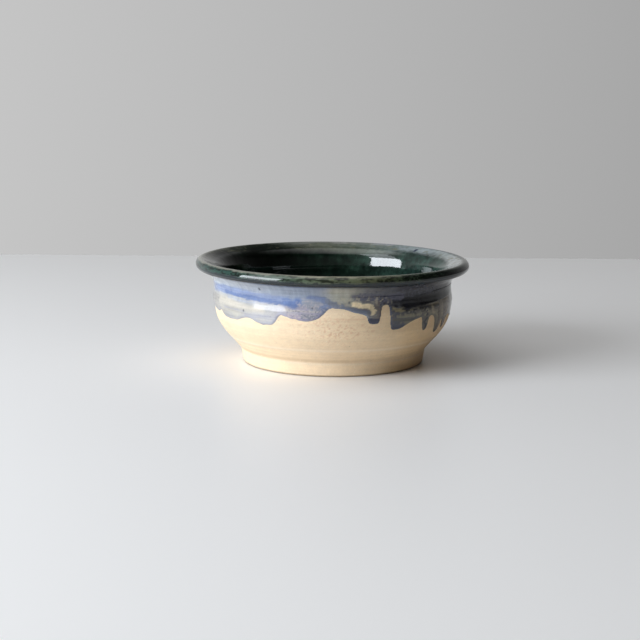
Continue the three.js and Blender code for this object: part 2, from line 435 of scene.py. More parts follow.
edge_azimuth = np.arange(0, 360, EDGE_STEP)
edge_points = np.array(SHOULDER_EDGE) * (ARC, 1)
edge_curve = curved(np.vstack([edge_points, edge_points[0] + (360 * ARC, 0)]))
edge_height = np.interp(edge_azimuth, edge_curve[:, 0] / ARC, edge_curve[:, 1], period=360)
edge_height += noise("glaze edge", edge_azimuth, np.zeros_like(edge_azimuth))
wrap = int(5 * EDGE_WEAR / EDGE_STEP)  # samples past each end, for the blur
wrapped = np.concatenate([edge_height[-wrap:], edge_height, edge_height[:wrap]])
edge_height = blurred(wrapped[:, None], EDGE_WEAR / EDGE_STEP)[wrap:-wrap, 0]
edge_length = np.interp(edge_height, line[crease:neck_top, 1], line_length[crease:neck_top])


def edge_distance(azimuth, length):
    """Millimetres from the lower edge of the shoulder glaze, above 0 inside the glaze."""
    nearest = np.full(azimuth.shape, np.inf)
    reach = int(EDGE_REACH / EDGE_STEP)
    here = np.rint(azimuth / EDGE_STEP).astype(int)
    for offset in range(-reach, reach + 1, 2):
        there = edge_length[(here + offset) % len(edge_length)]
        nearest = np.minimum(nearest, np.hypot(offset * EDGE_STEP * ARC, length - there))
    return np.where(length > edge_length[here % len(edge_length)], nearest, -nearest)


SHOULDER_COAT = 0.34
EDGE_BEAD = 0.08  # runs end in a slightly thicker roll
LINER_STEP = 0.02  # the liner is this much thinner than the lip's glaze


def shoulder_lift(azimuth, length):
    inward = edge_distance(azimuth, length)
    body = (SHOULDER_COAT - TUCK) * ramp(inward, -0.4, 0.7)
    bead = EDGE_BEAD * bump(inward, 0.9, 0.7)
    uneven = noise("shoulder coat", azimuth, length) * ramp(inward, 0, 2)
    under_lip = ramp(length, LIP_UNDERSIDE + 2.5, LIP_UNDERSIDE + 0.5)
    return TUCK + (body + bead + uneven) * under_lip + relief(azimuth, length)


def lip_lift(azimuth, length):
    start = ramp(length, LIP_UNDERSIDE - 0.6, LIP_UNDERSIDE + 1.2)
    end = ramp(length, CREST + 2.2, CREST + 0.4)
    uneven = noise("lip coat", azimuth, length)
    return TUCK + (GLAZE - TUCK + uneven) * start * end


def liner_lift(azimuth, length):
    start = ramp(length, CREST - 1.8, CREST)
    uneven = noise("liner coat", azimuth, length) * ramp(length, FLOOR - 15, FLOOR - 55)
    return TUCK + (GLAZE - LINER_STEP - TUCK + uneven) * start + relief(azimuth, length)


def buried(azimuth, length):
    return BACK + relief(azimuth, length)


COBALT_COAT = 0.09
COBALT_HIDDEN = 0.05  # where there is no cobalt its face lies this far inside the shoulder glaze
COBALT_BACK = 0.2  # and its hidden face lies this far in everywhere


def cobalt_lift(azimuth, length):
    thickness = (COBALT_COAT + COBALT_HIDDEN) * cobalt(azimuth, length)
    return shoulder_lift(azimuth, length) - COBALT_HIDDEN + thickness


def cobalt_back(azimuth, length):
    return shoulder_lift(azimuth, length) - COBALT_BACK


# ---- Painting: every colour is a linear reflectance ----


def laid_over(under, colour, cover):
    """One colour laid over another by a cover from 0 to 1."""
    under = np.asarray(under)
    return under + (colour - under) * cover[..., None]


def stroke(azimuth, height, path, half_width, softness, ragged=0):
    """How fully a stroke along a path of (azimuth, height) covers each point, from 0 to 1."""
    nearest = np.full(azimuth.shape, np.inf)
    for (from_azimuth, from_height), (to_azimuth, to_height) in zip(path, path[1:]):
        beside = ((azimuth - from_azimuth + 180) % 360 - 180) * ARC
        above = height - from_height
        across = (to_azimuth - from_azimuth) * ARC
        rise = to_height - from_height
        share = np.clip((beside * across + above * rise) / (across**2 + rise**2), 0, 1)
        nearest = np.minimum(nearest, np.hypot(beside - share * across, above - share * rise))
    return ease((half_width + softness / 2 - nearest - ragged) / softness)


# Cobalt: colour, cover, half width, softness and path of each stroke
COBALT_STROKES = [
    ((0.19, 0.245, 0.41), 0.9, 2.5, 2, [(-84, 48.2), (-66, 49.2), (-50, 49.2), (-38, 48.4), (-24, 47.6)]),
    ((0.13, 0.185, 0.345), 0.95, 1.2, 1.2, [(-60, 48.2), (-46, 47.6), (-34, 46.8), (-26, 46), (-20, 45.4)]),
    ((0.12, 0.18, 0.36), 0.92, 2.5, 2.6, [(-21.5, 47.4), (-17.5, 45), (-15.5, 47.6)]),
    ((0.26, 0.275, 0.315), 0.9, 3, 1.6, [(-11, 48.4), (-9.5, 46.4), (-8, 44.2)]),
    ((0.16, 0.205, 0.34), 0.9, 1.6, 1.4, [(-10.5, 50.6), (-5.5, 50.2), (-2.4, 48.2), (-2, 46)]),
    ((0.16, 0.2, 0.31), 0.9, 2.4, 1.6, [(-3.8, 49), (-3, 46.4), (-4.6, 43.6)]),
    (
        (0.17, 0.19, 0.24), 0.95, 1.8, 1,
        [(-2, 48.6), (2, 46.4), (7, 43.8), (12, 42), (15.5, 40.8), (17, 38.5)],
    ),
    ((0.11, 0.11, 0.15), 0.9, 2.3, 1.6, [(9.5, 50.6), (14, 50.6), (22, 50), (33, 49.6)]),
    ((0.01, 0.01, 0.012), 0.99, 3.7, 1.2, [(36, 45.4), (42, 46), (54, 47), (64, 47.8), (80, 48.4)]),
    ((0.03, 0.03, 0.033), 0.85, 1.6, 1.4, [(29, 46.8), (36, 46), (46, 41.2), (58, 41.2)]),
    (
        (0.2, 0.26, 0.39), 0.9, 2.3, 2,
        [(96, 46), (120, 47), (150, 48.6), (182, 48), (212, 47), (243, 48.2), (280, 48.6)],
    ),
    ((0.14, 0.19, 0.33), 0.8, 0.9, 1.4, [(118, 46.6), (148, 48), (176, 47.2), (204, 46.2), (236, 47.4)]),
    ((0.2, 0.235, 0.31), 0.8, 1.6, 2.4, [(168, 48), (176, 45.4), (184, 43.6), (194, 43)]),
]

# Breaks and runs in the glaze, in the same form
GLAZE_STROKES = [
    ((0.36, 0.355, 0.29), 0.8, 2.4, 2.2, [(0.5, 55), (3, 52.6), (6, 50), (8, 48.4)]),
    ((0.84, 0.69, 0.45), 1, 1.15, 0.8, [(9.6, 47.2), (12.5, 46.2), (15.5, 45.6), (18.6, 45.2)]),
    ((0.66, 0.55, 0.36), 1, 1.15, 0.8, [(18.5, 45.2), (18.4, 42.6), (18.1, 40.8)]),
    ((0.17, 0.145, 0.13), 0.9, 1.2, 1, [(21.4, 47), (21.3, 41), (21, 38.6)]),
    ((0.19, 0.19, 0.19), 0.9, 0.9, 0.8, [(16.1, 41), (16.8, 38)]),
    ((0.32, 0.31, 0.25), 0.8, 0.7, 0.8, [(17.8, 39.4), (20.2, 39.4)]),
    ((0.05, 0.055, 0.085), 0.97, 1.8, 0.6, [(17, 36.6), (21.2, 36.6)]),
    ((0.36, 0.31, 0.19), 0.9, 0.9, 1, [(28.4, 43.6), (30, 42.4), (33, 41.6)]),
    ((0.13, 0.125, 0.13), 0.8, 0.9, 1, [(28.5, 40.5), (28.4, 36), (28.7, 33)]),
    ((0.25, 0.23, 0.16), 0.8, 0.8, 1, [(31, 38.6), (36, 37.8), (44, 38.2)]),
    ((0.1, 0.095, 0.075), 0.8, 0.9, 1, [(29.5, 36.3), (37, 35.8)]),
    ((0.24, 0.22, 0.16), 0.7, 0.7, 1, [(33, 34), (38, 34.6)]),
    ((0.075, 0.08, 0.11), 0.95, 1.4, 1, [(28.8, 32.4), (31, 31.8), (34, 32.8)]),
    ((0.045, 0.045, 0.055), 0.97, 1.4, 0.9, [(48.9, 41), (48.8, 34), (48.8, 29)]),
    ((0.36, 0.3, 0.2), 0.8, 1, 1.4, [(53.5, 42.4), (55, 37)]),
    ((0.08, 0.06, 0.045), 0.9, 1, 1.2, [(59.6, 40), (60.2, 33), (60, 25.5)]),
    ((0.3, 0.25, 0.18), 0.8, 0.8, 1.2, [(63, 41.6), (63.6, 34)]),
    ((0.07, 0.05, 0.04), 0.9, 0.9, 1.2, [(66, 39), (66.8, 31), (67, 27)]),
    ((0.26, 0.26, 0.27), 0.6, 1.2, 1.8, [(-71, 46), (-68.5, 41), (-66.5, 37)]),
    ((0.57, 0.53, 0.45), 0.9, 1.7, 2.2, [(-66, 42.2), (-50, 41.8), (-34, 41.2)]),
    ((0.33, 0.37, 0.45), 0.8, 0.9, 1.6, [(-58, 45.4), (-48, 44.6), (-38, 44.2)]),
    ((0.31, 0.32, 0.38), 0.7, 1, 1.6, [(-61, 39.2), (-52, 38.3), (-45, 38)]),
    ((0.36, 0.37, 0.45), 0.7, 1, 1.6, [(-44, 37.3), (-36, 36.8), (-29, 37.3)]),
    ((0.32, 0.33, 0.36), 0.6, 1.2, 1.6, [(-61, 35), (-54, 34.4)]),
    ((0.55, 0.5, 0.42), 0.8, 0.45, 0.8, [(-22, 42.3), (-16, 42), (-10, 41.8), (-5.5, 42.3)]),
    ((0.2, 0.215, 0.245), 0.9, 1.5, 1.6, [(-13, 39.3), (-8.5, 39)]),
    ((0.44, 0.36, 0.42), 0.8, 1.2, 1.4, [(-20, 39), (-15.5, 38.4)]),
    ((0.22, 0.22, 0.24), 0.8, 1.1, 1.1, [(126, 44), (124, 38), (123, 34.5)]),
    ((0.6, 0.53, 0.4), 0.9, 0.9, 1, [(206, 46), (212, 44.8), (219, 45)]),
    ((0.12, 0.12, 0.14), 0.9, 1.2, 1.1, [(256, 40), (257, 34)]),
]

# Iron spots on the shoulder: azimuth, height and radius
SPOTS = [
    (-34.5, 53.4, 0.75), (-45, 39, 0.6), (7.6, 47.6, 0.6), (-9, 44, 0.4), (60, 43, 0.5), (150, 52, 0.7),
    (233, 44, 0.6),
]
SPOT_COLOUR = (0.07, 0.075, 0.10)

# Colours round the bowl: lists of azimuth, red, green and blue. The shoulder glaze, high up
UPPER_COAT = [
    (-80, 0.4, 0.45, 0.5), (-60, 0.36, 0.4, 0.45), (-42, 0.33, 0.36, 0.41), (-24, 0.29, 0.33, 0.4),
    (-12, 0.25, 0.29, 0.36), (-5, 0.25, 0.275, 0.325), (1, 0.36, 0.36, 0.32), (8, 0.33, 0.32, 0.27),
    (14, 0.17, 0.17, 0.17), (24, 0.095, 0.095, 0.105), (36, 0.04, 0.04, 0.05), (60, 0.022, 0.025, 0.034),
    (82, 0.03, 0.035, 0.045), (110, 0.14, 0.16, 0.2), (140, 0.26, 0.29, 0.35), (180, 0.33, 0.36, 0.41),
    (220, 0.29, 0.32, 0.38), (260, 0.38, 0.42, 0.47),
]

# The shoulder glaze, from its edge up to UPPER_FROM
LOWER_COAT = [
    (-80, 0.31, 0.3, 0.285), (-66, 0.41, 0.39, 0.345), (-54, 0.43, 0.41, 0.36),
    (-40, 0.45, 0.435, 0.405), (-30, 0.45, 0.44, 0.43), (-22, 0.42, 0.4, 0.42), (-14, 0.33, 0.31, 0.37),
    (-6, 0.28, 0.27, 0.33), (2, 0.26, 0.255, 0.28), (10, 0.21, 0.2, 0.22), (20, 0.17, 0.16, 0.16),
    (27, 0.085, 0.09, 0.115), (36, 0.095, 0.095, 0.09), (45, 0.13, 0.12, 0.1), (55, 0.2, 0.17, 0.12),
    (72, 0.14, 0.11, 0.08), (100, 0.28, 0.27, 0.26), (140, 0.43, 0.41, 0.37), (180, 0.47, 0.45, 0.41),
    (220, 0.45, 0.43, 0.41), (260, 0.48, 0.46, 0.42),
]

# The top of the lip, where the glaze broke pale
LIP_CREST = [
    (-80, 0.28, 0.28, 0.23), (-50, 0.23, 0.23, 0.19), (-25, 0.27, 0.27, 0.22), (0, 0.31, 0.29, 0.2),
    (22, 0.2, 0.2, 0.14), (34, 0.09, 0.11, 0.085), (55, 0.04, 0.055, 0.04), (90, 0.05, 0.06, 0.05),
    (128, 0.22, 0.25, 0.26), (152, 0.3, 0.31, 0.32), (175, 0.24, 0.24, 0.22), (208, 0.12, 0.13, 0.11),
    (240, 0.15, 0.15, 0.12),
]

# The lip's outer face
LIP_GREEN = [
    (-80, 0.01, 0.026, 0.022), (-45, 0.012, 0.032, 0.025), (-20, 0.04, 0.06, 0.042),
    (0, 0.065, 0.075, 0.045), (16, 0.06, 0.065, 0.035), (30, 0.02, 0.03, 0.018),
    (50, 0.006, 0.01, 0.007), (90, 0.01, 0.014, 0.012), (135, 0.04, 0.06, 0.05),
    (180, 0.06, 0.075, 0.05), (225, 0.03, 0.045, 0.035),
]

# The flare just inside the lip
FLARE = [
    (0, 0.05, 0.06, 0.045), (56, 0.03, 0.045, 0.035), (80, 0.27, 0.29, 0.28), (98, 0.33, 0.35, 0.34),
    (112, 0.28, 0.31, 0.3), (128, 0.26, 0.3, 0.3), (142, 0.2, 0.235, 0.23), (152, 0.13, 0.16, 0.14),
    (170, 0.055, 0.075, 0.05), (184, 0.07, 0.08, 0.05), (196, 0.04, 0.05, 0.032),
    (210, 0.008, 0.013, 0.008), (235, 0.02, 0.026, 0.018), (265, 0.1, 0.1, 0.085),
    (310, 0.05, 0.065, 0.05),
]

# The inside wall below the flare
WELL = [
    (0, 0.01, 0.024, 0.017), (90, 0.012, 0.028, 0.022), (130, 0.013, 0.029, 0.023),
    (155, 0.018, 0.037, 0.028), (172, 0.008, 0.018, 0.012), (190, 0.004, 0.01, 0.006),
    (225, 0.002, 0.004, 0.002), (300, 0.006, 0.014, 0.01),
]

# Where the flare's colour gives way to the wall's: azimuth and depth below the crest
WELL_EDGE = [
    (20, 10), (60, 10), (92, 11), (105, 8.5), (120, 7.5), (135, 6.8), (144, 8.5), (152, 12), (163, 14),
    (171, 12.5), (184, 9), (200, 8), (222, 4), (250, 4), (290, 8),
]
WELL_FADE = 6  # depth over which it does
WELL_FLOOR = (0.006, 0.015, 0.011)
WELL_SPECKLE = 0.35
FLARE_SPECKLE = 0.2
TEAL = (0.001, 0.008, 0.013)  # the lip's underside
OLIVE = (0.17, 0.165, 0.10)  # flecks in the flare
FROST = (0.36, 0.39, 0.42)  # a milky patch of the flare
FROST_PATH = [(121, 6), (133, 5), (144, 3)]  # azimuth and depth below the crest
CRATER = (134.4, 4.9)  # azimuth and depth below the crest of a dark pit in the glaze of the flare
CRATER_COLOUR = (0.03, 0.035, 0.07)

UPPER_FROM = (43.5, 48.5)  # heights over which the lower colours give way to the upper ones
STREAKS_FROM = (42, 47)  # heights over which upright streaks set in
EDGE_TINT = (0.84, 0.87, 0.98)  # the coat is cooler along its lower edge
EDGE_TINT_REACH = (2.6, 1)  # distances from the edge over which that sets in

# Painted shade under the lip, stronger towards the front: azimuth and share
UNDER_LIP_SHADE = [(-70, 0.55), (-45, 0.8), (-15, 1), (18, 1), (40, 0.5), (90, 0.4), (180, 0.7)]
UNDER_LIP_SHADE_TINT = (0.40, 0.43, 0.48)

# Speckled patches of the shoulder: colour, grain size, half width and path of each
SPECKLE_SEED = 61  # of the first, and one more for each after it
SPECKLED = [
    ((0.4, 0.37, 0.38), 0.8, 3, [(-14, 46.4), (-9, 45), (-4, 44)]),
    ((0.15, 0.16, 0.21), 0.7, 2.4, [(-19, 40.4), (-12, 40.2), (-6, 41)]),
    ((0.48, 0.43, 0.42), 0.7, 1.6, [(-20, 39.6), (-13, 38.6), (-8, 39.4)]),
    ((0.4, 0.36, 0.28), 1.2, 2.6, [(4, 48), (14, 48.6), (26, 48)]),
    ((0.27, 0.24, 0.16), 1.1, 2.8, [(29, 41), (38, 40), (48, 39), (57, 36)]),
    ((0.02, 0.02, 0.03), 1.2, 3.4, [(24, 48.4), (34, 44.6), (44, 40.4)]),
    ((0.075, 0.075, 0.1), 0.8, 3.2, [(14, 52), (34, 52), (60, 52.4)]),
]


def shoulder_paint(azimuth, length):
    height = on_line(length)[1]
    azimuth_drawn = azimuth + noise("drag", azimuth, height) / ARC
    height_drawn = height + noise("sag", azimuth, height)
    upper = colour_around(azimuth_drawn, UPPER_COAT)
    lower = colour_around(azimuth_drawn, LOWER_COAT)
    colour = laid_over(lower, upper, ramp(height_drawn, *UPPER_FROM))
    inward = edge_distance(azimuth, length)
    colour = laid_over(colour, colour * EDGE_TINT, ramp(inward, *EDGE_TINT_REACH))
    ragged = noise("stroke edges", azimuth, height)
    dry = ease(0.3 + noise("dry brush", azimuth, height))
    for tone, cover, half_width, softness, path in COBALT_STROKES + GLAZE_STROKES:
        reach = stroke(azimuth_drawn, height_drawn, path, half_width, softness, ragged)
        colour = laid_over(colour, tone, reach * cover * (1 - 3 * (1 - cover) * dry))
    streaks = ramp(height, *STREAKS_FROM) * noise("streaks", azimuth, height)
    brush_lines = noise("brush lines", azimuth, height)
    clouds = noise("shoulder clouds", azimuth, height)
    colour = colour * (1 + streaks + brush_lines + clouds)[..., None]
    for seed, (tone, grain_size, half_width, path) in enumerate(SPECKLED, start=SPECKLE_SEED):
        scattered = ease(2.6 * cells(azimuth, height, grain_size, 0.8 * grain_size, seed) - 0.2)
        reach = stroke(azimuth, height, path, half_width, softness=2.4)
        colour = laid_over(colour, tone, 0.7 * scattered * reach)
    # Painted shade: the shoulder is darkened from 8.5 to 3.5 mm below the lip's underside
    under_lip_shade = ramp(length, LIP_UNDERSIDE - 8.5, LIP_UNDERSIDE - 3.5) * value_around(azimuth, UNDER_LIP_SHADE)
    colour = laid_over(colour, colour * UNDER_LIP_SHADE_TINT, under_lip_shade)
    for place, level, radius in SPOTS:
        reach = stroke(azimuth, height, [(place, level), (place, level + 0.3)], radius, softness=0.7)
        colour = laid_over(colour, SPOT_COLOUR, 0.85 * reach)
    return colour


# Angles round the lip's roll, up from its outermost point, between which its colours change
TEAL_ANGLES = (12, -22)
CREST_ANGLES = (48, 72)


def lip_paint(azimuth, length):
    radius, height, _, _ = on_line(length)
    angle = np.degrees(np.arctan2(height - LIP_CENTRE[1], radius - LIP_CENTRE[0]))
    ragged = angle + noise("lip", azimuth, length)
    green = colour_around(azimuth, LIP_GREEN)
    mottle = ease(0.5 + noise("lip mottle", azimuth, length))
    colour = green * (0.3 + 1.4 * mottle)[..., None]
    colour = laid_over(colour, TEAL, ramp(ragged, *TEAL_ANGLES))
    crest = colour_around(azimuth, LIP_CREST)
    return laid_over(colour, crest, 0.95 * ramp(ragged, *CREST_ANGLES))


def flare_paint(azimuth, length, speckle):
    """The pale glaze just inside the lip, with its olive flecks."""
    depth = length - CREST
    flare = colour_around(azimuth + noise("flare", azimuth, length), FLARE)
    flare = flare * (1 + FLARE_SPECKLE * speckle)[..., None]
    flecks = ease(noise("olive flecks", azimuth, length) - 1.2)
    return laid_over(flare, OLIVE, 0.6 * flecks * ramp(depth, 13, 4))


def well_paint(azimuth, length, speckle):
    """The deep green of the inside, which is one even colour round the centre of the floor."""
    clouds = noise("well clouds", azimuth, length)
    well = colour_around(azimuth, WELL) * np.exp(clouds + WELL_SPECKLE * speckle)[..., None]
    return laid_over(WELL_FLOOR, well, ramp(length, FLOOR - 12, FLOOR - 47))


def liner_paint(azimuth, length):
    depth = length - CREST
    ragged = depth + noise("liner", azimuth, length)
    speckle = noise("liner speckle", azimuth, length)
    flare = flare_paint(azimuth, length, speckle)
    well = well_paint(azimuth, length, speckle)
    edge = value_around(azimuth, WELL_EDGE)
    colour = laid_over(flare, well, ramp(ragged, edge - WELL_FADE / 2, edge + WELL_FADE / 2))
    crest = colour_around(azimuth, LIP_CREST)
    colour = laid_over(colour, crest, ramp(ragged, 2.2, -0.4))
    frosted = ease(noise("frost", azimuth, length))
    frosted *= stroke(azimuth, depth, FROST_PATH, half_width=2.4, softness=3)
    colour = laid_over(colour, FROST, 0.35 * frosted)
    place, level = CRATER
    crater_path = [(place, level - 0.8), (place + 0.4, level + 0.6)]
    crater = stroke(azimuth, depth, crater_path, half_width=1.1, softness=0.9)
    return laid_over(colour, CRATER_COLOUR, 0.95 * crater)


def glaze_paint(azimuth, length):
    """One painting for all the coats, so that they run into each other; below the lip it also lays painted
    shadow.
    """
    shoulder = shoulder_paint(azimuth, length)
    lip = lip_paint(azimuth, length)
    liner = liner_paint(azimuth, length)
    ragged = length + noise("coat edges", azimuth, length)
    # The lip's colours, dark on its underside, reach 3.6 mm down onto the shoulder: painted shadow under
    # the lip.
    colour = laid_over(shoulder, lip, ramp(ragged, LIP_UNDERSIDE - 3.6, LIP_UNDERSIDE - 1.2))
    return laid_over(colour, liner, ramp(ragged, CREST, CREST + 1.4))


def cobalt(azimuth, length):
    """How thickly the cobalt lies, from 0 to 1."""
    height = on_line(length)[1]
    cover = np.zeros_like(azimuth)
    for _, strength, half_width, softness, path in COBALT_STROKES:
        cover = np.maximum(cover, strength * stroke(azimuth, height, path, half_width, softness))
    return cover * ramp(edge_distance(azimuth, length), 0.8, 1.6)


CLAY = (0.80, 0.64, 0.44)
PAINTED_HIGHLIGHT = (1, 1, 1)  # painted highlight on edges that catch the light: the foot's top edge and the turning ridge
PINK = (0.66, 0.38, 0.22)  # the flush on the front of the belly, and a hairline in it
FLUSH = (2, 31)  # azimuth and height
HAIRLINE = [(1, 38), (8, 37.7), (15, 37.9)]  # azimuth and height
SEAM_TAN_AND_SHADE = (0.60, 0.44, 0.27)  # the seam along the crease, darkened as painted shade in the crease
FOOT_CONTACT_SHADE = (0.22, 0.15, 0.09)  # painted contact shadow along the bottom of the foot, where it stands on the table

# Painted shade: the clay darker and warmer on its shaded right side, a little warmer round the back:
# azimuth, and factors of red, green and blue
SHADED_SIDE_TINT = [
    (-60, 1, 1, 1), (0, 1.03, 1.01, 1), (25, 1.02, 0.98, 0.92), (45, 0.94, 0.85, 0.71),
    (62, 0.86, 0.76, 0.63), (95, 0.88, 0.78, 0.66), (140, 1, 0.96, 0.92), (200, 0.97, 0.94, 0.9),
    (260, 1, 1, 1),
]


def clay_paint(azimuth, length):
    height = on_line(length)[1]
    crease_height = section[crease, 1]
    bands = noise("clay bands", azimuth, length)
    clouds = noise("clay clouds", azimuth, length)
    fine_grain = noise("clay grain", azimuth, length)
    # Painted shade: the clay is darker and warmer on the shaded right side
    colour = CLAY * colour_around(azimuth + noise("shaded_side", azimuth, length), SHADED_SIDE_TINT)
    colour = colour * (1 + bands + clouds + fine_grain)[..., None]
    flush = ease(noise("pink grains", azimuth, length) - 0.9)
    flush *= bump((azimuth + 180) % 360 - 180, FLUSH[0], 20) * bump(height, FLUSH[1], 8)
    colour = laid_over(colour, PINK, 0.7 * flush)
    hairline = stroke(azimuth, height, HAIRLINE, half_width=0.35, softness=0.8)
    colour = laid_over(colour, PINK, 0.45 * hairline)
    # A tan seam with painted shade in the crease just above the foot
    seam_and_shade = bump(height, crease_height + 0.7, 1.2) * (0.75 + noise("seam_and_shade", azimuth, length))
    colour = laid_over(colour, SEAM_TAN_AND_SHADE, 0.7 * seam_and_shade)
    # Painted highlight along the foot's top edge
    foot_edge_highlight = bump(height, crease_height - 1.3, 0.6)
    colour = laid_over(colour, PAINTED_HIGHLIGHT, 0.12 * foot_edge_highlight)
    # Painted highlight along the turning ridge, which the relief also raises
    ridge = bump(height, RIDGE_HEIGHT, 0.8)
    colour = laid_over(colour, PAINTED_HIGHLIGHT, 0.16 * ridge)
    # Painted contact shadow at the bottom of the foot
    contact_shade = ramp(height, 1.5, 0.4) * ramp(length, FOOT_EDGE - 4, FOOT_EDGE - 2)
    return laid_over(colour, FOOT_CONTACT_SHADE, 0.75 * contact_shade)


# ---- Materials ---------------------------


def add(tree, kind, inputs=None, **settings):
    """A new shader node, with its inputs set to values or linked to other nodes' outputs."""
    node = tree.nodes.new(kind)
    for setting, value in settings.items():
        setattr(node, setting, value)
    for socket, value in (inputs or {}).items():
        if isinstance(value, bpy.types.NodeSocket):
            tree.links.new(value, node.inputs[socket])
        else:
            node.inputs[socket].default_value = value
    return node


def ranged(tree, value, start, end, low, high):
    """A value carried over from start..end to low..high, and held there."""
    return add(tree, "ShaderNodeMapRange", {0: value, 1: start, 2: end, 3: low, 4: high}).outputs[0]


def combined(tree, operation, *values, **settings):
    """The result of a math node on numbers or other nodes' outputs."""
    return add(tree, "ShaderNodeMath", dict(enumerate(values)), operation=operation, **settings).outputs[0]


def grain(tree, place, size, low, high):
    """Soft grains of a size in millimetres, with values from low to high."""
    noise_node = add(tree, "ShaderNodeTexNoise", {"Vector": place, "Scale": 1 / (size * MM), "Detail": 2})
    return ranged(tree, noise_node.outputs[0], start=0.3, end=0.7, low=low, high=high)


def specks(tree, place, spacing, radius, share):
    """1 inside scattered specks, which fill this share of the cells they could stand in."""
    scatter = add(tree, "ShaderNodeTexVoronoi", {"Vector": place, "Scale": 1 / (spacing * MM)})
    draw = add(tree, "ShaderNodeSeparateColor", {0: scatter.outputs["Color"]}).outputs[0]
    reach = radius / spacing
    inside = ranged(tree, scatter.outputs["Distance"], start=0.6 * reach, end=reach, low=1, high=0)
    chosen = combined(tree, "LESS_THAN", draw, share)
    return combined(tree, "MULTIPLY", inside, chosen)


def tinted(tree, colour, share, tint):
    """A colour turned towards a tint by a share."""
    mix = add(tree, "ShaderNodeMix", {0: share, 6: colour, 7: (*tint, 1)}, data_type="RGBA")
    return mix.outputs[2]


def scaled(tree, colour, factor):
    return add(tree, "ShaderNodeVectorMath", {0: colour, 3: factor}, operation="SCALE").outputs[0]


def bumped(tree, height, depth, under=None):
    """A normal raised by a height from 0 to 1, over a depth in millimetres."""
    inputs = {"Height": height, "Distance": depth * MM}
    if under:
        inputs["Normal"] = under
    return add(tree, "ShaderNodeBump", inputs).outputs[0]


def painted(name):
    """A material's node tree, its shader, its painted colour and the place of each point."""
    material = bpy.data.materials.new(name)
    material.use_nodes = True
    tree = material.node_tree
    paint = add(tree, "ShaderNodeVertexColor", layer_name="paint").outputs["Color"]
    place = add(tree, "ShaderNodeTexCoord").outputs["Object"]
    return material, tree, tree.nodes["Principled BSDF"], paint, place


IRON = (0.10, 0.055, 0.03)
SAND = (0.93, 0.86, 0.72)


def bare_clay(name):
    """Fine buff stoneware: matt, sandy, with sparse iron specks."""
    material, tree, shader, paint, place = painted(name)
    colour = scaled(tree, paint, grain(tree, place, size=0.45, low=0.94, high=1.06))
    colour = scaled(tree, colour, grain(tree, place, size=4, low=0.975, high=1.025))
    colour = tinted(tree, colour, specks(tree, place, spacing=2.6, radius=0.22, share=0.16), IRON)
    colour = tinted(tree, colour, specks(tree, place, spacing=1.7, radius=0.25, share=0.2), SAND)
    tree.links.new(colour, shader.inputs["Base Color"])
    tree.links.new(grain(tree, place, size=3, low=0.5, high=0.66), shader.inputs["Roughness"])
    pores = bumped(tree, specks(tree, place, spacing=1.4, radius=0.2, share=0.3), depth=-0.04)
    rough = bumped(tree, grain(tree, place, size=0.6, low=0, high=1), depth=0.018, under=pores)
    tree.links.new(rough, shader.inputs["Normal"])
    return material


# Each glaze: mottle, share of iron specks, lowest and highest roughness, depth of its skin, and IOR
GLAZES = {
    "deep_green": (0.10, 0.03, 0.04, 0.09, 0.05, 1.7),
    "lip_green": (0.08, 0.03, 0.03, 0.07, 0.02, 1.54),
    "milky_glaze": (0.06, 0.05, 0.06, 0.11, 0.03, 1.42),
    "cobalt_wash": (0.06, 0.05, 0.06, 0.11, 0.03, 1.36),
}


def gloss_glaze(name):
    """Melted glaze: glossy, mottled, with pinholes and an uneven skin."""
    mottle, iron, smoothest, roughest, skin_depth, ior = GLAZES[name]
    material, tree, shader, paint, place = painted(name)
    colour = scaled(tree, paint, grain(tree, place, size=0.55, low=1 - mottle, high=1 + mottle))
    colour = scaled(tree, colour, grain(tree, place, size=2.2, low=1 - mottle / 2, high=1 + mottle / 2))
    colour = tinted(tree, colour, specks(tree, place, spacing=2.4, radius=0.24, share=iron), IRON)
    tree.links.new(colour, shader.inputs["Base Color"])
    tree.links.new(grain(tree, place, size=3.5, low=smoothest, high=roughest), shader.inputs["Roughness"])
    pinholes = bumped(tree, specks(tree, place, spacing=3.1, radius=0.2, share=0.25), depth=-0.05)
    skin = bumped(tree, grain(tree, place, size=6, low=0, high=1), depth=skin_depth, under=pinholes)
    tree.links.new(skin, shader.inputs["Normal"])
    shader.inputs["IOR"].default_value = ior
    return material


# ---- The pieces --------------------------

COLUMNS = 512  # points round each ring of the clay and the liner
FINE_COLUMNS = 768  # and of the coats with fine painting


def stand_in(piece, node, material):
    """Puts a visual piece in the place of a CAD node."""
    piece.data.materials.append(material)
    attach(piece, "root")
    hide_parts(node)


def thrown_clay():
    spans = [
        (0, 2.5), (FOOT_EDGE - 8, 0.5), (FOOT_EDGE + 1.5, 0.55), (at_height(50), 2),
        (LIP_UNDERSIDE - 1, 0.8), (CREST + 2, 3),
    ]
    azimuth, length = np.meshgrid(azimuths(COLUMNS), rows_between(spans, FLOOR))
    radius, height, out, up = on_line(length)
    lift = relief(azimuth, length)
    colour = clay_paint(azimuth, length)
    radius = np.where(radius < SAMPLE, 0, radius + out * lift)
    height = np.maximum(height + up * lift, 0)
    return turned_mesh("thrown_clay", radius, height, azimuth, colour, loops=False)


stand_in(thrown_clay(), "stoneware_body", bare_clay("buff_clay"))

liner_lengths = rows_between([(CREST - 2, 0.5), (CREST + 12, 0.9), (CREST + 40, 1.4)], FLOOR)
liner = coat_mesh("poured_liner", liner_lengths, COLUMNS, liner_lift, buried)
stand_in(liner, "liner_glaze", gloss_glaze("deep_green"))

lip_lengths = rows_between([(LIP_UNDERSIDE - 0.8, 0.35)], CREST + 2.4)
lip = coat_mesh("dipped_lip", lip_lengths, FINE_COLUMNS, lip_lift, buried)
stand_in(lip, "lip_glaze", gloss_glaze("lip_green"))

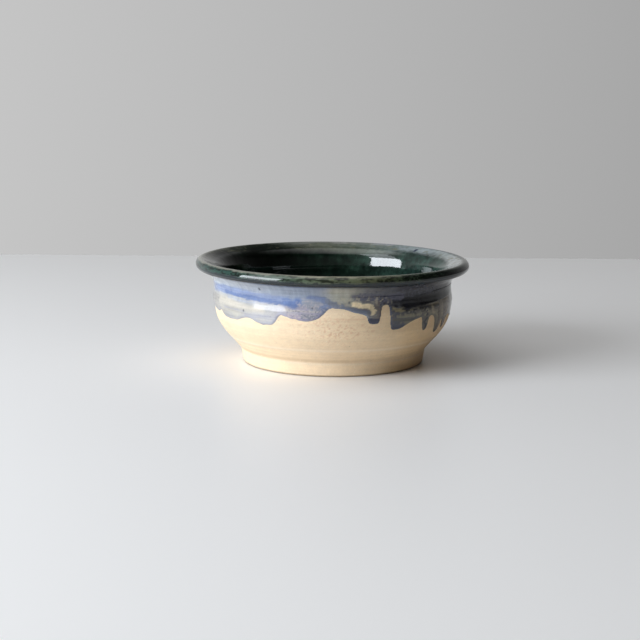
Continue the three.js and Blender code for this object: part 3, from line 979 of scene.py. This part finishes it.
shoulder_lengths = rows_between([(edge_length.min() - 1.5, 0.43)], LIP_UNDERSIDE + 2.6)
shoulder = coat_mesh("milky_shoulder", shoulder_lengths, FINE_COLUMNS, shoulder_lift, buried)
stand_in(shoulder, "shoulder_glaze", gloss_glaze("milky_glaze"))

cobalt_lengths = rows_between([(at_height(40), 0.45)], at_height(51))
brushwork = coat_mesh("brushed_cobalt", cobalt_lengths, FINE_COLUMNS, cobalt_lift, cobalt_back)
stand_in(brushwork, "cobalt_band", gloss_glaze("cobalt_wash"))


# ---- Table, light and camera -------------

TABLE_BACK = 0.485  # the far edge, from the bowl's axis
TABLE_REACH = 2.4  # the near edge and both sides
TABLE_THICKNESS = 0.03
TABLE_COLOUR = (0.93, 0.92, 0.905)
TABLE_ROUGHNESS = 0.38


def pale_table():
    left, right, near = -TABLE_REACH, TABLE_REACH, -TABLE_REACH
    corners = [(left, near), (right, near), (right, TABLE_BACK), (left, TABLE_BACK)]
    points = [(x, y, z) for z in (-TABLE_THICKNESS, 0) for x, y in corners]
    sides = [(i, (i + 1) % 4, (i + 1) % 4 + 4, i + 4) for i in range(4)]
    mesh = bpy.data.meshes.new("table")
    mesh.from_pydata(points, [], [(3, 2, 1, 0), (4, 5, 6, 7), *sides])
    table = bpy.data.objects.new("table", mesh)
    bpy.context.scene.collection.objects.link(table)
    material = bpy.data.materials.new("pale_laminate")
    material.use_nodes = True
    shader = material.node_tree.nodes["Principled BSDF"]
    shader.inputs["Base Color"].default_value = (*TABLE_COLOUR, 1)
    shader.inputs["Roughness"].default_value = TABLE_ROUGHNESS
    mesh.materials.append(material)


def direction(azimuth, elevation):
    """A unit vector from the bowl towards an azimuth and elevation."""
    turn = math.radians(azimuth)
    rise = math.radians(elevation)
    return Vector((math.sin(turn) * math.cos(rise), -math.cos(turn) * math.cos(rise), math.sin(rise)))


# Area lights: azimuth and elevation seen from the bowl, distance, width, height and radiance
AREA_LIGHTS = {
    "window": (-62, 16.5, 1.5, 0.96, 0.79, 10.8),
    "high_window": (-65, 45, 1.5, 0.75, 0.79, 1.9),
}
DAYLIGHT = (0.95, 1.0, 1.07)


def area_light(name, azimuth, elevation, distance, width, height, radiance):
    light = bpy.data.lights.new(name, "AREA")
    light.shape = "RECTANGLE"
    light.size = width
    light.size_y = height
    light.energy = radiance * math.pi * width * height
    light.color = DAYLIGHT
    lamp = bpy.data.objects.new(name, light)
    towards = direction(azimuth, elevation)
    lamp.location = Vector((0, 0, HEIGHT / 2 * MM)) + towards * distance
    lamp.rotation_euler = towards.to_track_quat("Z", "Y").to_euler()
    bpy.context.scene.collection.objects.link(lamp)


# Brightness of the room
WALL_LEVEL = 0.47  # the wall behind the bowl
WALL_FALL = 0.40  # it is this much darker for each unit towards +X
UNLIT_SHARE = 0.2  # what the room behind the camera has of that light
HIGH_SHARE = 0.1  # and what the wall's top has
CEILING_LEVEL = 1.9
FAR_CEILING_SHARE = 0.1  # what the ceiling's right end has of that
SKYLIGHT_LEVEL = 0.5  # the upper wall to the left


def room():
    """Soft surroundings: a wall lit from the left, a pale ceiling, and a dim room behind the camera.

    Every range starts and ends at parts of a view direction, from -1 to 1.
    """
    world = bpy.data.worlds.new("room")
    world.use_nodes = True
    tree = world.node_tree
    place = add(tree, "ShaderNodeTexCoord")
    across, ahead, up = add(tree, "ShaderNodeSeparateXYZ", {0: place.outputs["Generated"]}).outputs
    wall = combined(tree, "MULTIPLY_ADD", across, -WALL_FALL, WALL_LEVEL)
    forward = ranged(tree, ahead, start=-0.3, end=0.7, low=UNLIT_SHARE, high=1)
    lit = combined(tree, "MULTIPLY", forward, ranged(tree, up, start=0.15, end=0.6, low=1, high=HIGH_SHARE))
    overhead = ranged(tree, up, start=0.75, end=0.95, low=0, high=CEILING_LEVEL)
    nearer = ranged(tree, across, start=-0.6, end=0.5, low=1, high=FAR_CEILING_SHARE)
    ceiling = combined(tree, "MULTIPLY", overhead, nearer)
    leftward = combined(tree, "MULTIPLY", across, -1, use_clamp=True)
    aside = combined(tree, "POWER", leftward, 2)
    skylight = ranged(tree, up, start=0.35, end=0.7, low=0, high=SKYLIGHT_LEVEL)
    level = combined(tree, "MULTIPLY_ADD", wall, lit, ceiling)
    level = combined(tree, "MULTIPLY_ADD", skylight, aside, level)
    background = tree.nodes["Background"]
    background.inputs["Color"].default_value = (1, 1, 1, 1)
    tree.links.new(level, background.inputs["Strength"])
    bpy.context.scene.world = world


# The photograph's view: from the front, a little above the rim
CAMERA_PLACE = (0, -0.927, 0.188)
CAMERA_PITCH = 10.0  # degrees down
CAMERA_YAW = 0.458  # degrees to the left
CAMERA_ROLL = 0.37
LENS = 84.375  # focal length and sensor width in millimetres
SENSOR = 36


def camera():
    data = bpy.data.cameras.new("camera")
    data.lens = LENS
    data.sensor_width = SENSOR
    view = bpy.data.objects.new("camera", data)
    aim = Euler((math.radians(90 - CAMERA_PITCH), 0, math.radians(CAMERA_YAW)))
    roll = Euler((0, 0, math.radians(CAMERA_ROLL)))
    view.rotation_euler = (aim.to_matrix() @ roll.to_matrix()).to_euler()
    view.location = CAMERA_PLACE
    bpy.context.scene.collection.objects.link(view)
    bpy.context.scene.camera = view


pale_table()
for light_name, light_facts in AREA_LIGHTS.items():
    area_light(light_name, *light_facts)
room()
camera()
bpy.context.scene.view_settings.view_transform = "Standard"
